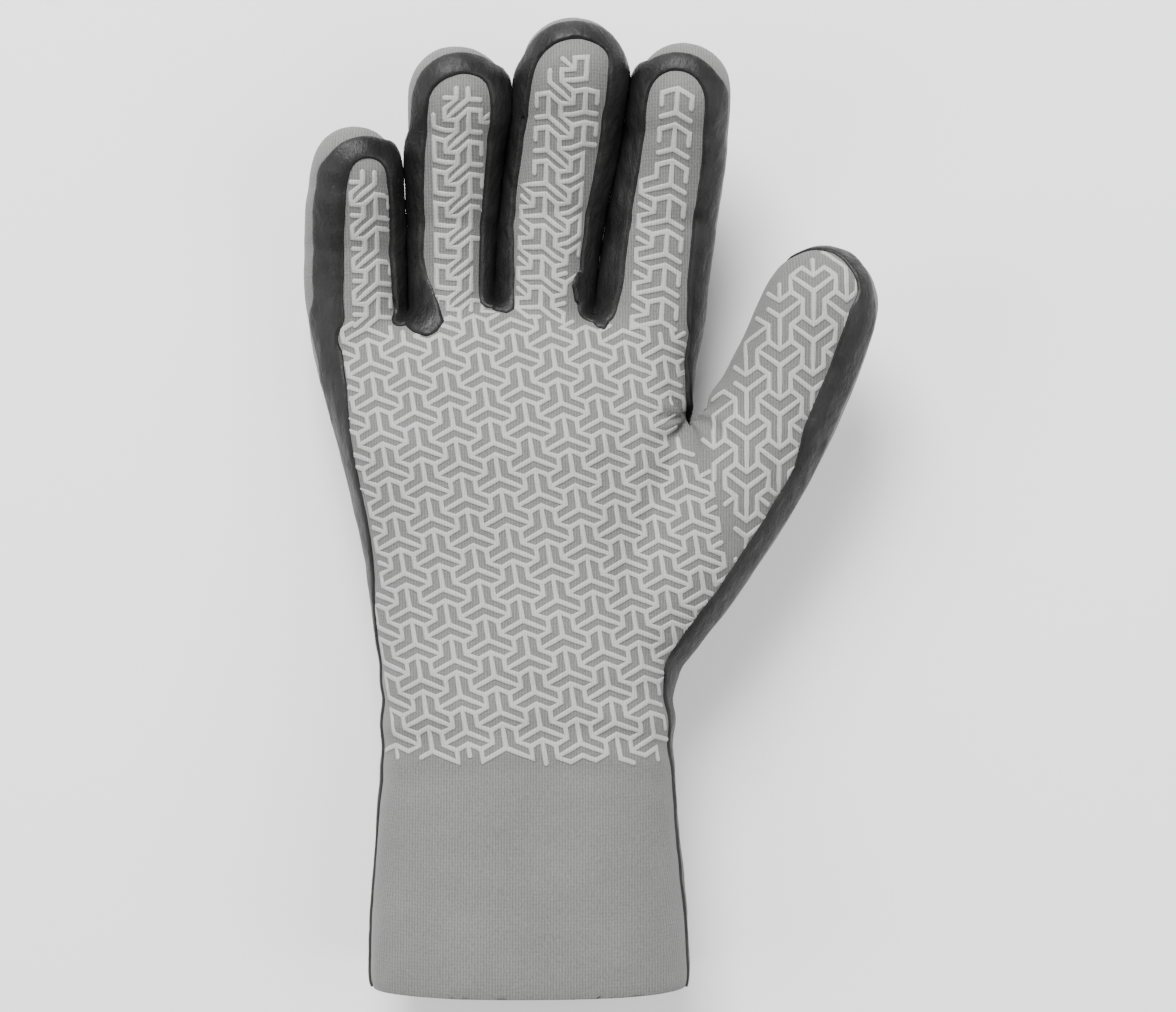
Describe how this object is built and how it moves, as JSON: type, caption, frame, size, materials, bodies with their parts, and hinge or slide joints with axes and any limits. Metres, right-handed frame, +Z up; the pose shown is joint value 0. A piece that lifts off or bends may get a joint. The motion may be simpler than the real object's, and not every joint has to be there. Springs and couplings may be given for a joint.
{
  "type": "diving glove",
  "caption": "Five-finger foam rubber diving glove for the right hand, lying palm up, with a grip print on the fabric and rubber tape over the seams",
  "frame": {"origin": "on the resting surface under the middle of the glove's outline seen from above", "axes": "+X towards the thumb, +Y from the cuff to the finger tips, +Z up, out of the palm"},
  "size_m": [0.16, 0.2648, 0.0541],
  "materials": {
    "printed_fabric": "knit fabric on foam rubber with a lighter raised grip print",
    "seam_rubber": "half-gloss black rubber tape"
  },
  "bodies": {
    "root": {"palm_panel": "printed_fabric", "back_panel": "printed_fabric", "ring_finger_back": "printed_fabric", "middle_finger_back": "printed_fabric", "seam_tape": "seam_rubber", "knuckle_tape": "seam_rubber"}
  },
  "joints": []
}
